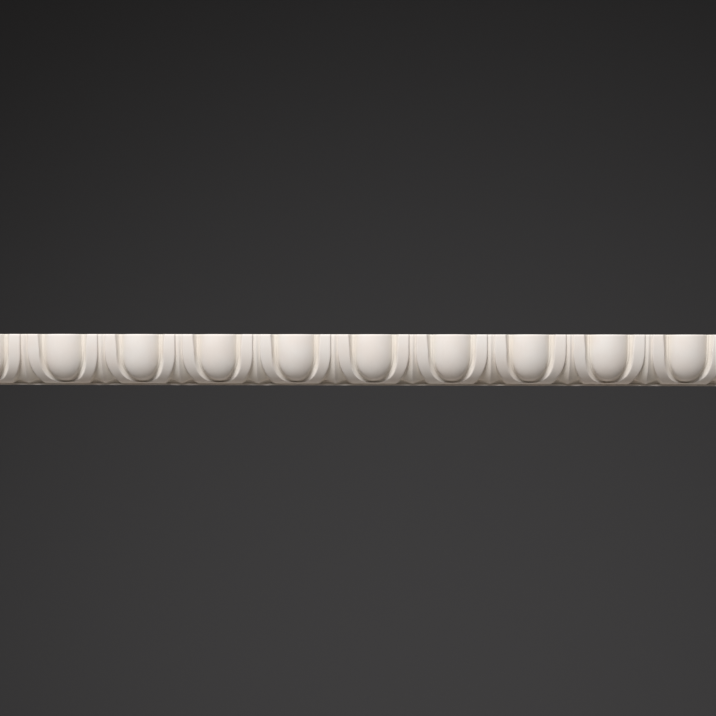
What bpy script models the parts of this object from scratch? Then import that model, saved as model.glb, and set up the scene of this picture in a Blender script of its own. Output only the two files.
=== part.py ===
"""A length of egg and dart moulding, cast in plaster in one piece.

X runs along the wall, Y runs into it and Z is up. The origin is in the middle of the flat back.
Each egg sits in a U of shell band, with a dart between neighbouring shells, and both ends are
cut square through the middle of a dart, so that lengths butt and the pattern runs on.
One half repeat is lofted from the middle of an egg to the middle of a dart, then mirrored
and repeated. Depths are measured forwards from the wall, heights upwards from the underside.
"""

import math

import bmesh
import bpy

NAME = "egg_and_dart_moulding"

# Overall sizes, in metres
REPEATS = 10
PITCH = 0.061
HEIGHT = 0.040
PROJECTION = 0.0235

# The flat strip along the bottom, next to the wall
FILLET_HEIGHT = 0.0015
FILLET_DEPTH = 0.003
LEDGE_RISE = 0.0003

# The shell bands follow a full ovolo, from below the eggs' crowns down to the fillet
CROWN_OVER_BAND = 0.0022
OVOLO_BASE_DEPTH = 0.0015
OVOLO_BASE_HEIGHT = 0.001
OVOLO_POWER = 2.2

# Above this height the outlines are straight, and below it they are quarter superellipses
SPRING_HEIGHT = 0.027

# Widths across the spring line, from the dart inwards, which leave the rest to the egg
DART_NECK = 0.0064
BAND_WIDTH = 0.0088
BANK_WIDTH = 0.0015
CHANNEL_WIDTH = 0.0022

# How much wider the band's inner edge stands at the top
BAND_SPLAY = 0.0011

# The same parts below an egg, stacked up from the ledge
BAND_FOOT = 0.0005
BANK_FOOT = 0.0004
CHANNEL_FOOT = 0.0012
SHELL_OVERRUN = 0.0048

# Squareness of the outlines, where 2 is an ellipse
SHELL_POWER = 2.3
BAND_POWER = 2.8
CHANNEL_POWER = 2.1
EGG_POWER = 2.1

# Depth of the U-shaped channel below the band, at its outer and inner side
BANK_DROP_TOP = 0.003
BANK_DROP_FOOT = 0.0022
CHANNEL_FALL = 0.0004

# The egg swells towards its lower end before it turns under, and its cross section is an arc
# of this radius, in half widths
EGG_SWELL = 0.0012
EGG_TURN_POWER = 7.0
EGG_SECTION_RADIUS = 1.28

# The dart: a ridge with two wings that flare to barbs, over a notch beside each shell
RIDGE_DROP = 0.0009
WING_SLOPE_TOP = 0.14
WING_SLOPE_FOOT = 0.52
WING_FLAT = 0.011
SHELL_WALL_RUN = 0.0007
BARB_HEIGHT = 0.0053
NOTCH_WALL_RUN = 0.0008
NOTCH_POWER = 1.4
NOTCH_SLOPE = 0.35
NOTCH_SINK = 0.0012

# Steps of the loft
STRAIGHT_STEPS = 2
STEPS_TO_BARB = 6
STEPS_ALONG_NOTCH = 3
STEPS_UNDER_EGG = 4
EGG_SHARES = (0.0, 0.3, 0.58, 0.8, 0.93)
WING_SHARES = (0.0, 0.5, 1.0)

MERGE_DISTANCE = 1e-6
SHARP_ANGLE = math.radians(28)

# Sizes that follow from the ones above
HALF_PITCH = PITCH / 2
SHELL_HALF_WIDTH = HALF_PITCH - DART_NECK / 2
BAND_HALF_WIDTH = SHELL_HALF_WIDTH - BAND_WIDTH
CHANNEL_HALF_WIDTH = BAND_HALF_WIDTH - BANK_WIDTH
EGG_HALF_WIDTH = CHANNEL_HALF_WIDTH - CHANNEL_WIDTH
LEDGE_HEIGHT = FILLET_HEIGHT + LEDGE_RISE
BAND_REACH = SPRING_HEIGHT - LEDGE_HEIGHT - BAND_FOOT
CHANNEL_REACH = BAND_REACH - BANK_FOOT
EGG_REACH = CHANNEL_REACH - CHANNEL_FOOT
SHELL_REACH = SPRING_HEIGHT - FILLET_HEIGHT + SHELL_OVERRUN


def clear_scene():
    for item in list(bpy.data.objects):
        bpy.data.objects.remove(item, do_unlink=True)


def bow(share, power=2.0):
    """Height of a superellipse over its chord, 1 at share 0 and 0 at share 1."""
    return (1 - min(max(share, 0.0), 1.0) ** power) ** (1 / power)


def band_depth(height):
    """The ovolo that the faces of the shell bands lie on."""
    share = (HEIGHT - height) / (HEIGHT - OVOLO_BASE_HEIGHT)
    top_depth = PROJECTION - CROWN_OVER_BAND
    return OVOLO_BASE_DEPTH + (top_depth - OVOLO_BASE_DEPTH) * bow(share, OVOLO_POWER)


def bank_depth(height):
    """The outer side of the channel, where the bank comes down from the band."""
    drop = BANK_DROP_FOOT + (BANK_DROP_TOP - BANK_DROP_FOOT) * height / HEIGHT
    return band_depth(height) - drop


def channel_depth(height):
    """The inner side of the channel, at the foot of the egg."""
    return bank_depth(height) - CHANNEL_FALL


def egg_depth(x, height):
    """The egg: across it an arc, down it a squarer bow, and between them a blend of the two."""
    across = (x / EGG_HALF_WIDTH) ** EGG_POWER
    down = (max(SPRING_HEIGHT - height, 0.0) / EGG_REACH) ** EGG_POWER
    out = min((across + down) ** (1 / EGG_POWER), 1.0)
    edge = math.sqrt(EGG_SECTION_RADIUS**2 - 1)
    arc = (math.sqrt(EGG_SECTION_RADIUS**2 - out**2) - edge) / (EGG_SECTION_RADIUS - edge)
    turned = down / (across + down) if down > 0 else 0.0
    fullness = arc + (bow(out, EGG_TURN_POWER) - arc) * turned
    rise = PROJECTION - channel_depth(HEIGHT) + EGG_SWELL * (1 - height / HEIGHT) ** 2
    return channel_depth(height) + rise * fullness


def wing_depth(x, height):
    """A wing of the dart, hollow as it falls from the ridge towards the shell."""
    slope = WING_SLOPE_FOOT + (WING_SLOPE_TOP - WING_SLOPE_FOOT) * (height / HEIGHT) ** 2
    out = HALF_PITCH - x
    return band_depth(height) - RIDGE_DROP - slope * out * (1 - out / (2 * WING_FLAT))


def notch_depth(height):
    """The ground of the notch, which rises from just behind the fillet's face."""
    return FILLET_DEPTH - NOTCH_SINK + NOTCH_SLOPE * (height - FILLET_HEIGHT)


def shell_x(height):
    """Half width of the shell's outer edge at a height below the spring line."""
    return SHELL_HALF_WIDTH * bow((SPRING_HEIGHT - height) / SHELL_REACH, SHELL_POWER)


def even_steps(start, end, count):
    """The ends of count equal steps, without the start."""
    return [start + (end - start) * (i + 1) / count for i in range(count)]


def ray_angles():
    """Directions from the spring line's middle, through the barb and the shell's end on the ledge."""
    barb = math.atan2(SPRING_HEIGHT - BARB_HEIGHT, shell_x(BARB_HEIGHT))
    landing = math.atan2(SPRING_HEIGHT - LEDGE_HEIGHT, shell_x(LEDGE_HEIGHT))
    return (
        [0.0]
        + even_steps(0.0, barb, STEPS_TO_BARB)
        + even_steps(barb, landing, STEPS_ALONG_NOTCH)
        + even_steps(landing, math.pi / 2, STEPS_UNDER_EGG)
    )


def outline(half_width, reach, power, splay=0.0):
    """A U, from the top edge down its straight side and round to the middle of the egg."""
    points = []
    for i in range(STRAIGHT_STEPS):
        share = 1 - i / STRAIGHT_STEPS
        height = SPRING_HEIGHT + (HEIGHT - SPRING_HEIGHT) * share
        points.append((half_width + splay * share, height))
    for angle in ray_angles():
        across = math.cos(angle) / half_width
        down = math.sin(angle) / reach
        radius = (abs(across) ** power + down**power) ** (-1 / power)
        if angle > 0:
            radius = min(radius, (SPRING_HEIGHT - LEDGE_HEIGHT) / math.sin(angle))
        points.append((radius * math.cos(angle), SPRING_HEIGHT - radius * math.sin(angle)))
    return points


def with_depth(points, depth_at):
    return [(x, depth_at(height), height) for x, height in points]


def egg_rings():
    """Rings inside the egg's foot, drawn in towards the point where the outlines spring."""
    foot = outline(EGG_HALF_WIDTH, EGG_REACH, EGG_POWER)
    rings = []
    for share in EGG_SHARES:
        ring = []
        for x, height in foot:
            if height < SPRING_HEIGHT:
                height = SPRING_HEIGHT - (SPRING_HEIGHT - height) * share
            ring.append((x * share, egg_depth(x * share, height), height))
        rings.append(ring)
    return rings


def shell_rings():
    """The foot of the egg, the foot of the bank, and both edges of the band."""
    return [
        with_depth(outline(EGG_HALF_WIDTH, EGG_REACH, EGG_POWER), channel_depth),
        with_depth(outline(CHANNEL_HALF_WIDTH, CHANNEL_REACH, CHANNEL_POWER), bank_depth),
        with_depth(outline(BAND_HALF_WIDTH, BAND_REACH, BAND_POWER, BAND_SPLAY), band_depth),
        with_depth(outline(SHELL_HALF_WIDTH, SHELL_REACH, SHELL_POWER), band_depth),
    ]


def add_strip(bm, first, second):
    """Faces between two lines of points of the same length; points may coincide."""
    upper = [bm.verts.new(point) for point in first]
    lower = [bm.verts.new(point) for point in second]
    for i in range(len(first) - 1):
        bm.faces.new((upper[i], upper[i + 1], lower[i + 1], lower[i]))


def add_loft(bm, lines):
    for first, second in zip(lines, lines[1:]):
        add_strip(bm, first, second)


def add_polygon(bm, points):
    bm.faces.new([bm.verts.new(point) for point in points])


def wing_lines(starts, ends):
    """Lines over a wing, from its outer edge to the ridge."""
    lines = []
    for share in WING_SHARES:
        line = []
        for (x0, z0), (x1, z1) in zip(starts, ends):
            x = x0 + (x1 - x0) * share
            height = z0 + (z1 - z0) * share
            line.append((x, wing_depth(x, height), height))
        lines.append(line)
    return lines


def half_repeat():
    """The front from the middle of an egg to the middle of a dart, with top, bottom and back."""
    bm = bmesh.new()
    rings = egg_rings() + shell_rings()
    add_loft(bm, rings)
    shell_edge = rings[-1]
    barb = STRAIGHT_STEPS + STEPS_TO_BARB
    landing = barb + STEPS_ALONG_NOTCH

    # The dart from the top edge down to its barbs, behind the shell's outer wall
    beside = [(x + SHELL_WALL_RUN, height) for x, _, height in shell_edge[: barb + 1]]
    upper = wing_lines(beside, [(HALF_PITCH, height) for _, height in beside])
    add_loft(bm, [shell_edge[: barb + 1]] + upper)

    # The dart's point, below the barbs, with its hollowed lower edge
    barb_x, barb_z = beside[-1]
    fall = barb_z - FILLET_HEIGHT
    shares = [i / STEPS_ALONG_NOTCH for i in range(STEPS_ALONG_NOTCH + 1)]
    lower_edge = [
        (barb_x + (HALF_PITCH - barb_x) * share, barb_z - fall * share**NOTCH_POWER)
        for share in shares
    ]
    ridge = [(HALF_PITCH, barb_z - fall * share) for share in shares]
    point = wing_lines(lower_edge, ridge)
    add_loft(bm, point)

    # The notch, between the shell's wall and the dart's edge
    notch_shell = []
    for share, (x, _, height) in zip(shares, shell_edge[barb : landing + 1]):
        drop = NOTCH_WALL_RUN * (1 - share) + LEDGE_RISE * share
        notch_shell.append((x + SHELL_WALL_RUN, height - drop))
    notch_shell = with_depth(notch_shell, notch_depth)
    notch_dart = []
    for share, (x, height) in zip(shares, lower_edge):
        height -= NOTCH_WALL_RUN * (1 - share)
        notch_dart.append((x, notch_depth(height) + NOTCH_SINK * share, height))
    shell_wall = shell_edge[barb : landing + 1]
    add_polygon(bm, [shell_wall[0], point[0][0], notch_dart[0]])
    add_loft(bm, [shell_wall, notch_shell, notch_dart, point[0]])

    # The ledge under the shell, down to the fillet
    under_shell = shell_edge[landing:]
    fillet_edge = [(x, FILLET_DEPTH, FILLET_HEIGHT) for x, _, _ in under_shell]
    add_strip(bm, under_shell, fillet_edge)
    notch_corner = (notch_shell[-1][0], FILLET_DEPTH, FILLET_HEIGHT)
    add_polygon(bm, [under_shell[0], notch_shell[-1], notch_corner])
    add_polygon(bm, [under_shell[0], notch_corner, fillet_edge[0]])
    add_polygon(bm, [notch_corner, notch_shell[-1], notch_dart[-1]])

    # The fillet's face, the bottom, the back and the top
    fillet_foot = [(HALF_PITCH, FILLET_DEPTH, 0.0), (0.0, FILLET_DEPTH, 0.0)]
    add_polygon(bm, fillet_edge[::-1] + [notch_corner, notch_dart[-1]] + fillet_foot)
    back = [(0.0, 0.0, 0.0), (HALF_PITCH, 0.0, 0.0), (HALF_PITCH, 0.0, HEIGHT), (0.0, 0.0, HEIGHT)]
    add_polygon(bm, back)
    add_polygon(bm, back[:2] + fillet_foot)
    top_edge = [ring[0] for ring in rings] + [line[0] for line in upper]
    add_polygon(bm, top_edge + [back[2], back[3]])

    for vert in bm.verts:
        x, depth, height = vert.co
        vert.co = (x, -depth, height - HEIGHT / 2)
    bmesh.ops.remove_doubles(bm, verts=bm.verts, dist=MERGE_DISTANCE)
    bmesh.ops.dissolve_degenerate(bm, edges=bm.edges, dist=MERGE_DISTANCE)
    mesh = bpy.data.meshes.new("half_repeat")
    bm.to_mesh(mesh)
    bm.free()
    return mesh


def repeated(collection):
    """The half repeat mirrored about its egg and repeated along the wall, as one open mesh."""
    guide = bpy.data.objects.new("half_repeat", half_repeat())
    collection.objects.link(guide)
    mirror = guide.modifiers.new("Mirror", "MIRROR")
    mirror.use_axis = (True, False, False)
    mirror.merge_threshold = MERGE_DISTANCE
    array = guide.modifiers.new("Array", "ARRAY")
    array.count = REPEATS
    array.use_relative_offset = False
    array.use_constant_offset = True
    array.constant_offset_displace = (PITCH, 0, 0)
    array.use_merge_vertices = True
    array.merge_threshold = MERGE_DISTANCE
    bpy.context.view_layer.update()
    depsgraph = bpy.context.evaluated_depsgraph_get()
    mesh = bpy.data.meshes.new_from_object(guide.evaluated_get(depsgraph))
    bpy.data.objects.remove(guide)
    return mesh


def plaster():
    material = bpy.data.materials.new("plaster")
    material.use_nodes = True
    shader = material.node_tree.nodes["Principled BSDF"]
    shader.inputs["Base Color"].default_value = (0.79, 0.76, 0.71, 1)
    shader.inputs["Roughness"].default_value = 0.75
    shader.inputs["Metallic"].default_value = 0.0
    return material


def moulding(collection):
    """The open length centred on the origin, with a flat cut across each end."""
    mesh = repeated(collection)
    bm = bmesh.new()
    bm.from_mesh(mesh)
    bmesh.ops.translate(bm, verts=bm.verts, vec=(-PITCH * (REPEATS - 1) / 2, 0, 0))
    open_edges = [edge for edge in bm.edges if edge.is_boundary]
    bmesh.ops.holes_fill(bm, edges=open_edges, sides=0)
    bmesh.ops.triangulate(bm, faces=bm.faces)
    bmesh.ops.recalc_face_normals(bm, faces=bm.faces)
    bm.to_mesh(mesh)
    bm.free()
    mesh.name = "moulding"
    mesh.materials.clear()
    mesh.materials.append(plaster())
    mesh.shade_smooth()
    mesh.set_sharp_from_angle(angle=SHARP_ANGLE)
    collection.objects.link(bpy.data.objects.new("moulding", mesh))


def build():
    clear_scene()
    collection = bpy.data.collections.new(NAME)
    bpy.context.scene.collection.children.link(collection)
    moulding(collection)


build()
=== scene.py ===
import math

import bmesh
import bpy
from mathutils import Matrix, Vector, noise


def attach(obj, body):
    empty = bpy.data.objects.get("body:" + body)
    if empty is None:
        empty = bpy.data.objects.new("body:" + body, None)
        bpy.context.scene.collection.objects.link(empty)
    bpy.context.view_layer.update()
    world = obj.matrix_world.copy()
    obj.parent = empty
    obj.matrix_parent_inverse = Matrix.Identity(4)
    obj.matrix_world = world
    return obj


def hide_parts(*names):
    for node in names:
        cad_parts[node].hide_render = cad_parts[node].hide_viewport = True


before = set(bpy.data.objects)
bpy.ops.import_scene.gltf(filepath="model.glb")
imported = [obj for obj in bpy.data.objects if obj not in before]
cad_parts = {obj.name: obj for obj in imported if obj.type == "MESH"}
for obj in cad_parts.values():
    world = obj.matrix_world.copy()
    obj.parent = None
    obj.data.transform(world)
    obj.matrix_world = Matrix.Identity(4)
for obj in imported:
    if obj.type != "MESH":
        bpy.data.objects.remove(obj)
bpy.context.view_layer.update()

# The moulding
# One length of egg and dart, cast in plaster in a rubber mould and stuck to the wall by its
# back. The back is struck off flat and the ends are sawn, and both are bare; the rest is
# painted. Its arrises are soft, and it keeps the small unevenness of the carved original.
REPEATS = 10
PITCH = 0.061
HEIGHT = 0.040
PROJECTION = 0.0235
FILLET_HEIGHT = 0.0015
FILLET_DEPTH = 0.003
LEDGE_RISE = 0.0003
CROWN_OVER_BAND = 0.0022
OVOLO_BASE_DEPTH = 0.0015
OVOLO_POWER = 2.2
OVOLO_BASE_HEIGHT = 0.001
SPRING_HEIGHT = 0.027
DART_NECK = 0.0064
BAND_WIDTH = 0.0088
BANK_WIDTH = 0.0015
CHANNEL_WIDTH = 0.0022
BAND_SPLAY = 0.0011
BAND_FOOT = 0.0005
BANK_FOOT = 0.0004
CHANNEL_FOOT = 0.0012
SHELL_OVERRUN = 0.0048
SHELL_POWER = 2.3
BAND_POWER = 2.8
CHANNEL_POWER = 2.1
EGG_POWER = 2.1
BANK_DROP_TOP = 0.003
BANK_DROP_FOOT = 0.0022
CHANNEL_FALL = 0.0004
EGG_SWELL = 0.0012
EGG_TURN_POWER = 7.0
EGG_SECTION_RADIUS = 1.28
RIDGE_DROP = 0.0009
WING_SLOPE_TOP = 0.14
WING_SLOPE_FOOT = 0.52
WING_FLAT = 0.011
SHELL_WALL_RUN = 0.0007
BARB_HEIGHT = 0.0053
NOTCH_WALL_RUN = 0.0008
NOTCH_POWER = 1.4
NOTCH_SLOPE = 0.35
NOTCH_SINK = 0.0012

# Finer forms of the carving: a rounded top arris, a rim and a groove round the egg, a cove to
# the bank and a keener ridge to the dart
TOP_ARRIS = 0.0006
RIM_RISE = 0.00035
RIM_SHARE = 0.25
GROOVE_DEPTH = 0.00025
BANK_COVE = 1.6
RIDGE_RISE = 0.0004
RIDGE_RUN = 0.0023

HALF_PITCH = PITCH / 2
LENGTH = PITCH * REPEATS
SHELL_HALF_WIDTH = HALF_PITCH - DART_NECK / 2
BAND_HALF_WIDTH = SHELL_HALF_WIDTH - BAND_WIDTH
CHANNEL_HALF_WIDTH = BAND_HALF_WIDTH - BANK_WIDTH
EGG_HALF_WIDTH = CHANNEL_HALF_WIDTH - CHANNEL_WIDTH
LEDGE_HEIGHT = FILLET_HEIGHT + LEDGE_RISE
BAND_REACH = SPRING_HEIGHT - LEDGE_HEIGHT - BAND_FOOT
CHANNEL_REACH = BAND_REACH - BANK_FOOT
EGG_REACH = CHANNEL_REACH - CHANNEL_FOOT
SHELL_REACH = SPRING_HEIGHT - FILLET_HEIGHT + SHELL_OVERRUN

# Steps of the fine loft, along the outlines and across them
ARRIS_STEPS = 3
STRAIGHT_STEPS = 20
STEPS_TO_BARB = 32
STEPS_ALONG_NOTCH = 10
STEPS_UNDER_EGG = 14
EGG_SHARES = (0.0, 0.1, 0.2, 0.3, 0.4, 0.5, 0.59, 0.67, 0.74, 0.8, 0.85, 0.89, 0.925, 0.955, 0.98)
CHANNEL_SHARES = (0.12, 0.25, 0.38, 0.5, 0.6, 0.68, 0.78, 0.9)
BANK_SHARES = (0.0, 0.2, 0.4, 0.6, 0.8, 0.92)
BAND_SHARES = (0.0, 0.04, 0.12, 0.28, 0.5, 0.72, 0.88, 0.96, 1.0)
WALL_SHARES = (0.2, 0.5, 0.8)
WING_SHARES = (0.0, 0.08, 0.2, 0.36, 0.52, 0.66, 0.77, 0.86, 0.92, 0.965, 1.0)
GROUND_SHARES = (0.2, 0.5, 0.8)
MERGE_DISTANCE = 1e-6


def bow(share, power=2.0):
    """Height of a superellipse over its chord, 1 at share 0 and 0 at share 1."""
    return (1 - min(max(share, 0.0), 1.0) ** power) ** (1 / power)


def band_depth(height):
    share = (HEIGHT - height) / (HEIGHT - OVOLO_BASE_HEIGHT)
    top_depth = PROJECTION - CROWN_OVER_BAND
    return OVOLO_BASE_DEPTH + (top_depth - OVOLO_BASE_DEPTH) * bow(share, OVOLO_POWER)


def bank_depth(height):
    drop = BANK_DROP_FOOT + (BANK_DROP_TOP - BANK_DROP_FOOT) * height / HEIGHT
    return band_depth(height) - drop


def channel_depth(height):
    return bank_depth(height) - CHANNEL_FALL


def egg_depth(x, height):
    """The egg: across it an arc, down it a squarer bow, and between them a blend of the two."""
    across = (x / EGG_HALF_WIDTH) ** EGG_POWER
    down = (max(SPRING_HEIGHT - height, 0.0) / EGG_REACH) ** EGG_POWER
    out = min((across + down) ** (1 / EGG_POWER), 1.0)
    edge = math.sqrt(EGG_SECTION_RADIUS**2 - 1)
    arc = (math.sqrt(EGG_SECTION_RADIUS**2 - out**2) - edge) / (EGG_SECTION_RADIUS - edge)
    turned = down / (across + down) if down > 0 else 0.0
    fullness = arc + (bow(out, EGG_TURN_POWER) - arc) * turned
    rise = PROJECTION - channel_depth(HEIGHT) + EGG_SWELL * (1 - height / HEIGHT) ** 2
    return channel_depth(height) + rise * fullness


def wing_depth(x, height):
    slope = WING_SLOPE_FOOT + (WING_SLOPE_TOP - WING_SLOPE_FOOT) * (height / HEIGHT) ** 2
    out = HALF_PITCH - x
    keen = RIDGE_RISE * (1 - height / (2 * HEIGHT)) * max(1 - out / RIDGE_RUN, 0.0)
    return band_depth(height) - RIDGE_DROP + keen - slope * out * (1 - out / (2 * WING_FLAT))


def notch_depth(height):
    return FILLET_DEPTH - NOTCH_SINK + NOTCH_SLOPE * (height - FILLET_HEIGHT)


def shell_x(height):
    return SHELL_HALF_WIDTH * bow((SPRING_HEIGHT - height) / SHELL_REACH, SHELL_POWER)


def even_steps(start, end, count):
    return [start + (end - start) * (i + 1) / count for i in range(count)]


def ray_angles():
    barb = math.atan2(SPRING_HEIGHT - BARB_HEIGHT, shell_x(BARB_HEIGHT))
    landing = math.atan2(SPRING_HEIGHT - LEDGE_HEIGHT, shell_x(LEDGE_HEIGHT))
    return (
        [0.0]
        + even_steps(0.0, barb, STEPS_TO_BARB)
        + even_steps(barb, landing, STEPS_ALONG_NOTCH)
        + even_steps(landing, math.pi / 2, STEPS_UNDER_EGG)
    )


def outline(half_width, reach, power, splay=0.0):
    """A U, from under the top arris down its straight side and round to the middle of the egg."""
    points = []
    for i in range(STRAIGHT_STEPS):
        share = 1 - i / STRAIGHT_STEPS
        height = SPRING_HEIGHT + (HEIGHT - TOP_ARRIS - SPRING_HEIGHT) * share
        points.append((half_width + splay * share, height))
    for angle in ray_angles():
        across = math.cos(angle) / half_width
        down = math.sin(angle) / reach
        radius = (abs(across) ** power + down**power) ** (-1 / power)
        if angle > 0:
            radius = min(radius, (SPRING_HEIGHT - LEDGE_HEIGHT) / math.sin(angle))
        points.append((radius * math.cos(angle), SPRING_HEIGHT - radius * math.sin(angle)))
    return points


def channel_relief(share):
    """The low rim next to the egg and the groove next to the bank, across the channel."""
    if share < 2 * RIM_SHARE:
        return RIM_RISE * math.sin(math.pi * share / (2 * RIM_SHARE))
    across = (share - 2 * RIM_SHARE) / (1 - 2 * RIM_SHARE)
    return -GROOVE_DEPTH * math.sin(math.pi * across)


def with_depth(points, depth_at):
    return [(x, depth_at(height), height) for x, height in points]


def between(first, second, share):
    """A line of points part of the way from one line to another."""
    return [tuple(a + (b - a) * share for a, b in zip(p, q)) for p, q in zip(first, second)]


def with_arris(line):
    """The line with a quarter round over the top arris in front of it."""
    x, depth, height = line[0]
    turns = [math.pi / 2 * (1 - i / ARRIS_STEPS) for i in range(ARRIS_STEPS)]
    rounded = [
        (x, depth - TOP_ARRIS * (1 - math.cos(turn)), height + TOP_ARRIS * math.sin(turn))
        for turn in turns
    ]
    return rounded + line


def egg_rings():
    foot = outline(EGG_HALF_WIDTH, EGG_REACH, EGG_POWER)
    rings = []
    for share in EGG_SHARES:
        ring = []
        for x, height in foot:
            if height < SPRING_HEIGHT:
                height = SPRING_HEIGHT - (SPRING_HEIGHT - height) * share
            ring.append((x * share, egg_depth(x * share, height), height))
        rings.append(ring)
    return rings


def shell_rings():
    """From the foot of the egg over the grooved channel and the bank to the band's outer edge."""
    egg_foot = with_depth(outline(EGG_HALF_WIDTH, EGG_REACH, EGG_POWER), channel_depth)
    bank_foot = with_depth(outline(CHANNEL_HALF_WIDTH, CHANNEL_REACH, CHANNEL_POWER), bank_depth)
    inner = with_depth(outline(BAND_HALF_WIDTH, BAND_REACH, BAND_POWER, BAND_SPLAY), band_depth)
    outer = with_depth(outline(SHELL_HALF_WIDTH, SHELL_REACH, SHELL_POWER), band_depth)
    rings = [egg_foot]
    for share in CHANNEL_SHARES:
        relief = channel_relief(share)
        rings.append([(x, d + relief, h) for x, d, h in between(egg_foot, bank_foot, share)])
    for share in BANK_SHARES:
        ring = []
        for low, high in zip(bank_foot, inner):
            x, depth, height = (a + (b - a) * share for a, b in zip(low, high))
            depth = low[1] + (high[1] - low[1]) * share**BANK_COVE
            ring.append((x, depth, height))
        rings.append(ring)
    band_lines = []
    for share in BAND_SHARES:
        line = between(inner, outer, share)
        band_lines.append([(x, band_depth(h), h) for x, _, h in line])
    return rings + band_lines


def add_strip(bm, first, second):
    upper = [bm.verts.new(point) for point in first]
    lower = [bm.verts.new(point) for point in second]
    for i in range(len(first) - 1):
        bm.faces.new((upper[i], upper[i + 1], lower[i + 1], lower[i]))


def add_loft(bm, lines):
    for first, second in zip(lines, lines[1:]):
        add_strip(bm, first, second)


def add_polygon(bm, points):
    bm.faces.new([bm.verts.new(point) for point in points])


def wing_lines(starts, ends):
    lines = []
    for share in WING_SHARES:
        line = []
        for (x0, z0), (x1, z1) in zip(starts, ends):
            x = x0 + (x1 - x0) * share
            height = z0 + (z1 - z0) * share
            line.append((x, wing_depth(x, height), height))
        lines.append(line)
    return lines


def half_repeat():
    """The front from the middle of an egg to the middle of a dart, with top, bottom and back."""
    bm = bmesh.new()
    rings = egg_rings() + shell_rings()
    shell_edge = rings[-1]
    barb = STRAIGHT_STEPS + STEPS_TO_BARB
    landing = barb + STEPS_ALONG_NOTCH

    # The dart from the top edge down to its barbs, behind the shell's outer wall
    beside = [(x + SHELL_WALL_RUN, height) for x, _, height in shell_edge[: barb + 1]]
    wings = wing_lines(beside, [(HALF_PITCH, height) for _, height in beside])
    wall = [between(shell_edge[: barb + 1], wings[0], share) for share in WALL_SHARES]
    rounded = [with_arris(line) for line in rings]
    add_loft(bm, rounded)
    upper = [with_arris(line) for line in [shell_edge[: barb + 1]] + wall + wings]
    add_loft(bm, upper)

    # The dart's point, below the barbs, with its hollowed lower edge
    barb_x, barb_z = beside[-1]
    fall = barb_z - FILLET_HEIGHT
    shares = [i / STEPS_ALONG_NOTCH for i in range(STEPS_ALONG_NOTCH + 1)]
    lower_edge = [
        (barb_x + (HALF_PITCH - barb_x) * share, barb_z - fall * share**NOTCH_POWER)
        for share in shares
    ]
    ridge = [(HALF_PITCH, barb_z - fall * share) for share in shares]
    point = wing_lines(lower_edge, ridge)
    add_loft(bm, point)

    # The notch, between the shell's wall and the dart's edge
    notch_shell = []
    for share, (x, _, height) in zip(shares, shell_edge[barb : landing + 1]):
        drop = NOTCH_WALL_RUN * (1 - share) + LEDGE_RISE * share
        notch_shell.append((x + SHELL_WALL_RUN, height - drop))
    notch_shell = with_depth(notch_shell, notch_depth)
    notch_dart = []
    for share, (x, height) in zip(shares, lower_edge):
        height -= NOTCH_WALL_RUN * (1 - share)
        notch_dart.append((x, notch_depth(height) + NOTCH_SINK * share, height))
    shell_side = shell_edge[barb : landing + 1]
    down_wall = [between(shell_side, notch_shell, share) for share in WALL_SHARES]
    ground = [between(notch_shell, notch_dart, share) for share in GROUND_SHARES]
    up_dart = [between(notch_dart, point[0], share) for share in WALL_SHARES]
    notch_lines = [shell_side] + down_wall + [notch_shell] + ground + [notch_dart] + up_dart
    add_loft(bm, notch_lines + [point[0]])
    barb_end = [line[0] for line in notch_lines] + [line[-1] for line in [wings[0]] + wall[::-1]]
    add_polygon(bm, barb_end)

    # The ledge under the shell, down to the fillet
    under_shell = shell_edge[landing:]
    fillet_edge = [(x, FILLET_DEPTH, FILLET_HEIGHT) for x, _, _ in under_shell]
    add_strip(bm, under_shell, fillet_edge)
    notch_corner = (notch_shell[-1][0], FILLET_DEPTH, FILLET_HEIGHT)
    landing_wall = [line[-1] for line in down_wall]
    add_polygon(bm, [under_shell[0]] + landing_wall + [notch_shell[-1], notch_corner])
    add_polygon(bm, [under_shell[0], notch_corner, fillet_edge[0]])
    add_polygon(bm, [notch_corner, notch_shell[-1]] + [line[-1] for line in ground] + [notch_dart[-1]])

    # The fillet's face, the bottom, the back and the top
    fillet_foot = [(HALF_PITCH, FILLET_DEPTH, 0.0), (0.0, FILLET_DEPTH, 0.0)]
    add_polygon(bm, fillet_edge[::-1] + [notch_corner, notch_dart[-1]] + fillet_foot)
    back = [(0.0, 0.0, 0.0), (HALF_PITCH, 0.0, 0.0), (HALF_PITCH, 0.0, HEIGHT), (0.0, 0.0, HEIGHT)]
    add_polygon(bm, back)
    add_polygon(bm, back[:2] + fillet_foot)
    top_edge = [line[0] for line in rounded] + [line[0] for line in upper[1:]]
    add_polygon(bm, top_edge + [back[2], back[3]])

    for vert in bm.verts:
        x, depth, height = vert.co
        vert.co = (x, -depth, height - HEIGHT / 2)
    bmesh.ops.remove_doubles(bm, verts=bm.verts, dist=MERGE_DISTANCE)
    bmesh.ops.dissolve_degenerate(bm, edges=bm.edges, dist=MERGE_DISTANCE)
    mesh = bpy.data.meshes.new("half_repeat")
    bm.to_mesh(mesh)
    bm.free()
    return mesh


def repeated():
    """The half repeat mirrored about its egg and repeated along the wall, as one open mesh."""
    guide = bpy.data.objects.new("half_repeat", half_repeat())
    bpy.context.scene.collection.objects.link(guide)
    mirror = guide.modifiers.new("Mirror", "MIRROR")
    mirror.merge_threshold = MERGE_DISTANCE
    array = guide.modifiers.new("Array", "ARRAY")
    array.count = REPEATS
    array.use_relative_offset = False
    array.use_constant_offset = True
    array.constant_offset_displace = (PITCH, 0, 0)
    array.use_merge_vertices = True
    array.merge_threshold = MERGE_DISTANCE
    bpy.context.view_layer.update()
    mesh = bpy.data.meshes.new_from_object(
        guide.evaluated_get(bpy.context.evaluated_depsgraph_get())
    )
    bpy.data.objects.remove(guide)
    return mesh


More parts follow.
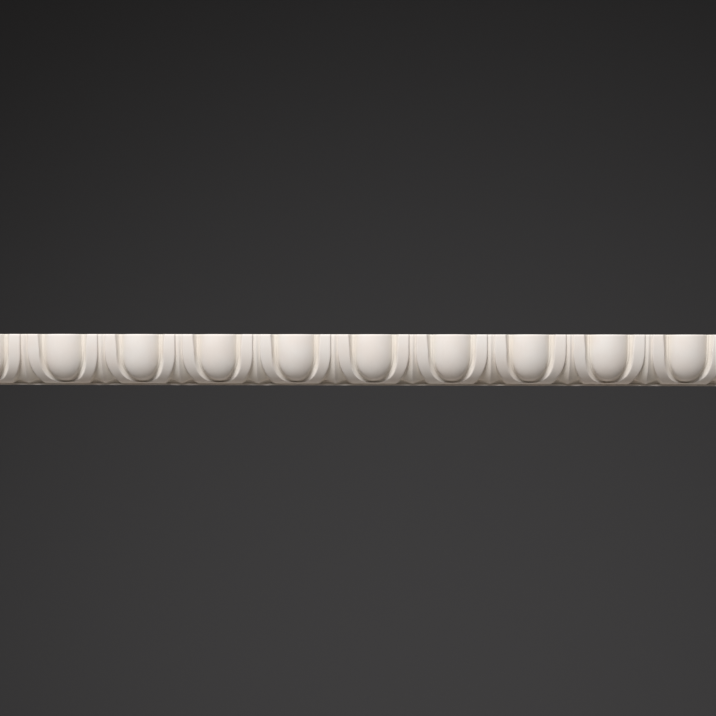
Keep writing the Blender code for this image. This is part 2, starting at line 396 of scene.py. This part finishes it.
# The cast's own softness: passes of smoothing over the arrises, and how far the carved
# original wandered from its setting out
SOFTENING_PASSES = 3
SOFTENING_FACTOR = 0.5
WANDER = 0.00022
WANDER_SPAN = 0.021
DENT = 0.00012
DENT_SPAN = 0.011
DENT_OFFSET = Vector((7.0, 3.0, 5.0))
EDGE_FADE = 0.006


def soften(bm):
    """Rounds the front's arrises, and leaves the back, ends, top and bottom planes flat."""
    free = [
        vert
        for vert in bm.verts
        if vert.co.y < -MERGE_DISTANCE
        and abs(vert.co.x) < LENGTH / 2 - MERGE_DISTANCE
        and FILLET_HEIGHT - HEIGHT / 2 + MERGE_DISTANCE < vert.co.z < HEIGHT / 2 - MERGE_DISTANCE
    ]
    for _ in range(SOFTENING_PASSES):
        bmesh.ops.smooth_vert(
            bm, verts=free, factor=SOFTENING_FACTOR, use_axis_x=True, use_axis_y=True, use_axis_z=True
        )


def wander(bm):
    """Moves the front by fractions of a millimetre, so that no two repeats are quite alike."""
    for vert in bm.verts:
        to_end = LENGTH / 2 - abs(vert.co.x)
        fade = min(to_end / EDGE_FADE, 1.0) * min(-vert.co.y / EDGE_FADE, 1.0)
        if fade <= 0:
            continue
        place = vert.co.copy()
        sideways = noise.noise(place / WANDER_SPAN)
        dent = noise.noise(place / DENT_SPAN + DENT_OFFSET)
        vert.co.x += fade * WANDER * sideways
        vert.co.y += fade * DENT * (0.5 + 0.5 * dent)


# A face larger than this is one of the plane ones and is shaded flat. One that faces squarely
# sideways or backwards is an end or the back, and takes the second material.
PLANE_FACE_AREA = 1e-5
SQUARE_ON = 0.99
PAINTED_SLOT = 0
BARE_SLOT = 1
SHARP_ANGLE = math.radians(50)


def moulding_mesh():
    mesh = repeated()
    bm = bmesh.new()
    bm.from_mesh(mesh)
    bmesh.ops.translate(bm, verts=bm.verts, vec=(-PITCH * (REPEATS - 1) / 2, 0, 0))
    soften(bm)
    wander(bm)
    bmesh.ops.holes_fill(bm, edges=[edge for edge in bm.edges if edge.is_boundary], sides=0)
    bmesh.ops.recalc_face_normals(bm, faces=bm.faces)
    # The mask for the painted shade: how far each point lies behind the band's face, from 0 to 1
    recess_shade = bm.verts.layers.float.new("recess_shade")
    for vert in bm.verts:
        behind = band_depth(vert.co.z + HEIGHT / 2) + vert.co.y
        vert[recess_shade] = min(max(behind / BANK_DROP_TOP, 0.0), 1.0)
    for face in bm.faces:
        is_bare = abs(face.normal.x) > SQUARE_ON or face.normal.y > SQUARE_ON
        face.material_index = BARE_SLOT if is_bare else PAINTED_SLOT
        face.smooth = face.calc_area() < PLANE_FACE_AREA
    bm.to_mesh(mesh)
    bm.free()
    mesh.name = "moulding_cast"
    mesh.set_sharp_from_angle(angle=SHARP_ANGLE)
    return mesh


def node(tree, kind, **values):
    """A shader node with the given sockets and settings."""
    made = tree.nodes.new("ShaderNode" + kind)
    for name, value in values.items():
        if hasattr(made, name):
            setattr(made, name, value)
        else:
            made.inputs[name.replace("_", " ")].default_value = value
    return made


# Sizes in the plaster, as cells to the metre, with the share of a cell that a pin hole takes
CLOUD_SCALE = 48.0
CLOUD_RANGE = (0.36, 0.64)
GRAIN_SCALE = 850.0
GRAIN_ROUGHNESS = 0.6
PORE_SCALE = 560.0
PORE_CORE = 0.05
PORE_EDGE = 0.19


def plaster_grain():
    """Grain, cloudy mottling and pin holes of cast plaster, as values for both finishes."""
    group = bpy.data.node_groups.new("plaster_grain", "ShaderNodeTree")
    for name in ("Mottle", "Grain", "Pores"):
        group.interface.new_socket(name, in_out="OUTPUT", socket_type="NodeSocketFloat")
    out = group.nodes.new("NodeGroupOutput")
    place = node(group, "TexCoord").outputs["Object"]
    cloud = node(group, "TexNoise", Scale=CLOUD_SCALE, Detail=3.0)
    spread = node(group, "MapRange", From_Min=CLOUD_RANGE[0], From_Max=CLOUD_RANGE[1])
    fine = node(group, "TexNoise", Scale=GRAIN_SCALE, Detail=5.0, Roughness=GRAIN_ROUGHNESS)
    cells = node(group, "TexVoronoi", Scale=PORE_SCALE)
    holes = node(group, "MapRange", From_Min=PORE_CORE, From_Max=PORE_EDGE, To_Min=1.0, To_Max=0.0)
    for texture in (cloud, fine, cells):
        group.links.new(place, texture.inputs["Vector"])
    group.links.new(cloud.outputs["Fac"], spread.inputs["Value"])
    group.links.new(cells.outputs["Distance"], holes.inputs["Value"])
    group.links.new(spread.outputs["Result"], out.inputs["Mottle"])
    group.links.new(fine.outputs["Fac"], out.inputs["Grain"])
    group.links.new(holes.outputs["Result"], out.inputs["Pores"])
    return group


def streaks(tree, scale):
    """Noise drawn out along the axes where the scale is low."""
    place = node(tree, "TexCoord").outputs["Object"]
    stretch = node(tree, "Mapping")
    stretch.inputs["Scale"].default_value = scale
    texture = node(tree, "TexNoise", Scale=1.0, Detail=3.0)
    tree.links.new(place, stretch.inputs["Vector"])
    tree.links.new(stretch.outputs["Vector"], texture.inputs["Vector"])
    return texture.outputs["Fac"]


def mixed(tree, factor, first, second, blend="MIX"):
    """A colour mix; each colour is a value or the output of another node."""
    mix = tree.nodes.new("ShaderNodeMix")
    mix.data_type = "RGBA"
    mix.blend_type = blend
    # The node has a set of sockets for each kind of data, and only the set in use is enabled
    sockets = {socket.name: socket for socket in mix.inputs if socket.enabled}
    for name, value in (("Factor", factor), ("A", first), ("B", second)):
        if isinstance(value, tuple):
            sockets[name].default_value = (*value, 1)
        elif isinstance(value, float):
            sockets[name].default_value = value
        else:
            tree.links.new(value, sockets[name])
    return next(socket for socket in mix.outputs if socket.enabled)


def combined(tree, first, second, share):
    """The first value plus a share of the second."""
    total = node(tree, "Math", operation="MULTIPLY_ADD")
    tree.links.new(second, total.inputs[0])
    total.inputs[1].default_value = share
    tree.links.new(first, total.inputs[2])
    return total.outputs["Value"]


def ranged(tree, value, low, high):
    """The value, which runs from 0 to 1, spread between two others."""
    spread = node(tree, "MapRange", To_Min=low, To_Max=high)
    tree.links.new(value, spread.inputs["Value"])
    return spread.outputs["Result"]


def bumped(tree, height, distance, strength):
    bump = node(tree, "Bump", Distance=distance, Strength=strength)
    tree.links.new(height, bump.inputs["Height"])
    return bump.outputs["Normal"]


# Matt off-white paint over the plaster, neutral on the proud faces, with a faint pink cloudiness and
# upright brush marks.
# The recesses are painted darker and creamier: painted shade and painted warm bounced light.
PAINT = (0.81, 0.763, 0.722)
PAINT_SHADED_RECESS = (0.77, 0.72, 0.65)
PAINT_CLOUD = (0.985, 0.955, 0.935)
PAINT_ROUGHNESS = (0.56, 0.68)
BRUSH_SCALE = (620.0, 30.0, 22.0)
BRUSH_SHARE = 1.5
PAINT_BUMP_HEIGHT = 0.00007
PAINT_BUMP_STRENGTH = 0.6


def painted_plaster(grain_group):
    material = bpy.data.materials.new("painted_plaster")
    material.use_nodes = True
    tree = material.node_tree
    shader = tree.nodes["Principled BSDF"]
    grain = tree.nodes.new("ShaderNodeGroup")
    grain.node_tree = grain_group
    # Darker, creamier colour in the recesses: painted shade and painted warm bounced light
    recess_shade_mask = node(tree, "Attribute", attribute_name="recess_shade").outputs["Fac"]
    paint = mixed(tree, recess_shade_mask, PAINT, PAINT_SHADED_RECESS)
    cloud = mixed(tree, grain.outputs["Mottle"], (1.0, 1.0, 1.0), PAINT_CLOUD)
    tree.links.new(mixed(tree, 1.0, paint, cloud, "MULTIPLY"), shader.inputs["Base Color"])
    tree.links.new(ranged(tree, grain.outputs["Mottle"], *PAINT_ROUGHNESS), shader.inputs["Roughness"])
    brushed = combined(tree, grain.outputs["Grain"], streaks(tree, BRUSH_SCALE), BRUSH_SHARE)
    relief = bumped(tree, brushed, PAINT_BUMP_HEIGHT, PAINT_BUMP_STRENGTH)
    tree.links.new(relief, shader.inputs["Normal"])
    return material


# Bare plaster on the back and the sawn ends: chalky, with drag marks and pin holes. The pin holes are
# real, and their darker colour is painted shade in them.
BARE = (0.80, 0.785, 0.75)
BARE_DUST = (0.735, 0.715, 0.675)
PORE_SHADE = (0.55, 0.52, 0.47)
BARE_ROUGHNESS = (0.8, 0.95)
DRAG_SCALE = (14.0, 14.0, 260.0)
DRAG_RANGE = (-0.6, 1.6)
DRAG_SHARE = 1.2
DRAG_CLOUD_SHARE = 0.35
PORE_SHARE = -2.0
BARE_BUMP_HEIGHT = 0.00016
BARE_BUMP_STRENGTH = 0.7


def bare_plaster(grain_group):
    material = bpy.data.materials.new("bare_plaster")
    material.use_nodes = True
    tree = material.node_tree
    shader = tree.nodes["Principled BSDF"]
    grain = tree.nodes.new("ShaderNodeGroup")
    grain.node_tree = grain_group
    drag = streaks(tree, DRAG_SCALE)
    uneven = ranged(tree, drag, *DRAG_RANGE)
    cloudy = combined(tree, uneven, grain.outputs["Mottle"], DRAG_CLOUD_SHARE)
    dusted = mixed(tree, cloudy, BARE, BARE_DUST)
    # Painted shade in the pin holes
    pored = mixed(tree, grain.outputs["Pores"], dusted, PORE_SHADE)
    tree.links.new(pored, shader.inputs["Base Color"])
    tree.links.new(ranged(tree, drag, *BARE_ROUGHNESS), shader.inputs["Roughness"])
    dragged = combined(tree, grain.outputs["Grain"], drag, DRAG_SHARE)
    pitted = combined(tree, dragged, grain.outputs["Pores"], PORE_SHARE)
    relief = bumped(tree, pitted, BARE_BUMP_HEIGHT, BARE_BUMP_STRENGTH)
    tree.links.new(relief, shader.inputs["Normal"])
    return material


cast_mesh = moulding_mesh()
grain_values = plaster_grain()
# In the order of the two slots above
cast_mesh.materials.append(painted_plaster(grain_values))
cast_mesh.materials.append(bare_plaster(grain_values))
cast = bpy.data.objects.new("moulding_cast", cast_mesh)
bpy.context.scene.collection.objects.link(cast)
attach(cast, "root")
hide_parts("moulding")

# The studio
# A plain pale floor a metre below the moulding and a plain grey backdrop well behind it. They
# are matt boards, and no part of the moulding.
FLOOR_DROP = 1.0
BACKDROP_BEHIND = 2.2
STAGE_HALF_WIDTH = 4.0
FLOOR_COLOUR = (0.72, 0.65, 0.585)
BACKDROP_COLOUR = (0.085, 0.084, 0.088)
BOARD_ROUGHNESS = 0.9


def board(name, corners, colour):
    mesh = bpy.data.meshes.new(name)
    mesh.from_pydata(corners, [], [(0, 1, 2, 3)])
    material = bpy.data.materials.new(name)
    material.use_nodes = True
    shader = material.node_tree.nodes["Principled BSDF"]
    shader.inputs["Base Color"].default_value = (*colour, 1)
    shader.inputs["Roughness"].default_value = BOARD_ROUGHNESS
    mesh.materials.append(material)
    item = bpy.data.objects.new(name, mesh)
    bpy.context.scene.collection.objects.link(item)


left, right = -STAGE_HALF_WIDTH, STAGE_HALF_WIDTH
near, far = -STAGE_HALF_WIDTH, STAGE_HALF_WIDTH
low, high = -FLOOR_DROP, STAGE_HALF_WIDTH
board(
    "floor",
    [(left, near, low), (right, near, low), (right, far, low), (left, far, low)],
    FLOOR_COLOUR,
)
board(
    "backdrop",
    [
        (left, BACKDROP_BEHIND, low),
        (right, BACKDROP_BEHIND, low),
        (right, BACKDROP_BEHIND, high),
        (left, BACKDROP_BEHIND, high),
    ],
    BACKDROP_COLOUR,
)

# The light
# One large soft lamp above and to the left, as a tall window or a big softbox gives, over an
# even dim sky.
KEY_AZIMUTH = math.radians(-14)
KEY_ELEVATION = math.radians(50)
KEY_DISTANCE = 2.4
KEY_SIZE = 1.5
KEY_POWER = 20.8
KEY_SPREAD = math.radians(75)
SKY_STRENGTH = 0.06

lamp = bpy.data.lights.new("key", "AREA")
lamp.size = KEY_SIZE
lamp.energy = KEY_POWER
lamp.spread = KEY_SPREAD
key = bpy.data.objects.new("key", lamp)
bpy.context.scene.collection.objects.link(key)
key.location = KEY_DISTANCE * Vector((
    math.sin(KEY_AZIMUTH) * math.cos(KEY_ELEVATION),
    -math.cos(KEY_AZIMUTH) * math.cos(KEY_ELEVATION),
    math.sin(KEY_ELEVATION),
))
key.rotation_euler = (-key.location).to_track_quat("-Z", "Y").to_euler()

world = bpy.data.worlds.new("sky")
bpy.context.scene.world = world
world.use_nodes = True
world.node_tree.nodes["Background"].inputs["Color"].default_value = (1, 1, 1, 1)
world.node_tree.nodes["Background"].inputs["Strength"].default_value = SKY_STRENGTH
bpy.context.scene.view_settings.view_transform = "Standard"

# The camera
# At the height of the moulding and a little right of its middle, turned slightly to the left.
CAMERA_PLACE = (0.0477, -1.09, -0.0082)
CAMERA_PAN = math.radians(1.568)
CAMERA_TILT = math.radians(0.524)
CAMERA_ROLL = math.radians(-0.10)
CAMERA_LENS = 69.02
CAMERA_SENSOR = 36

camera_data = bpy.data.cameras.new("camera")
camera_data.lens = CAMERA_LENS
camera_data.sensor_width = CAMERA_SENSOR
camera = bpy.data.objects.new("camera", camera_data)
bpy.context.scene.collection.objects.link(camera)
camera.location = CAMERA_PLACE
camera.rotation_euler = (math.pi / 2 + CAMERA_TILT, CAMERA_ROLL, CAMERA_PAN)
bpy.context.scene.camera = camera
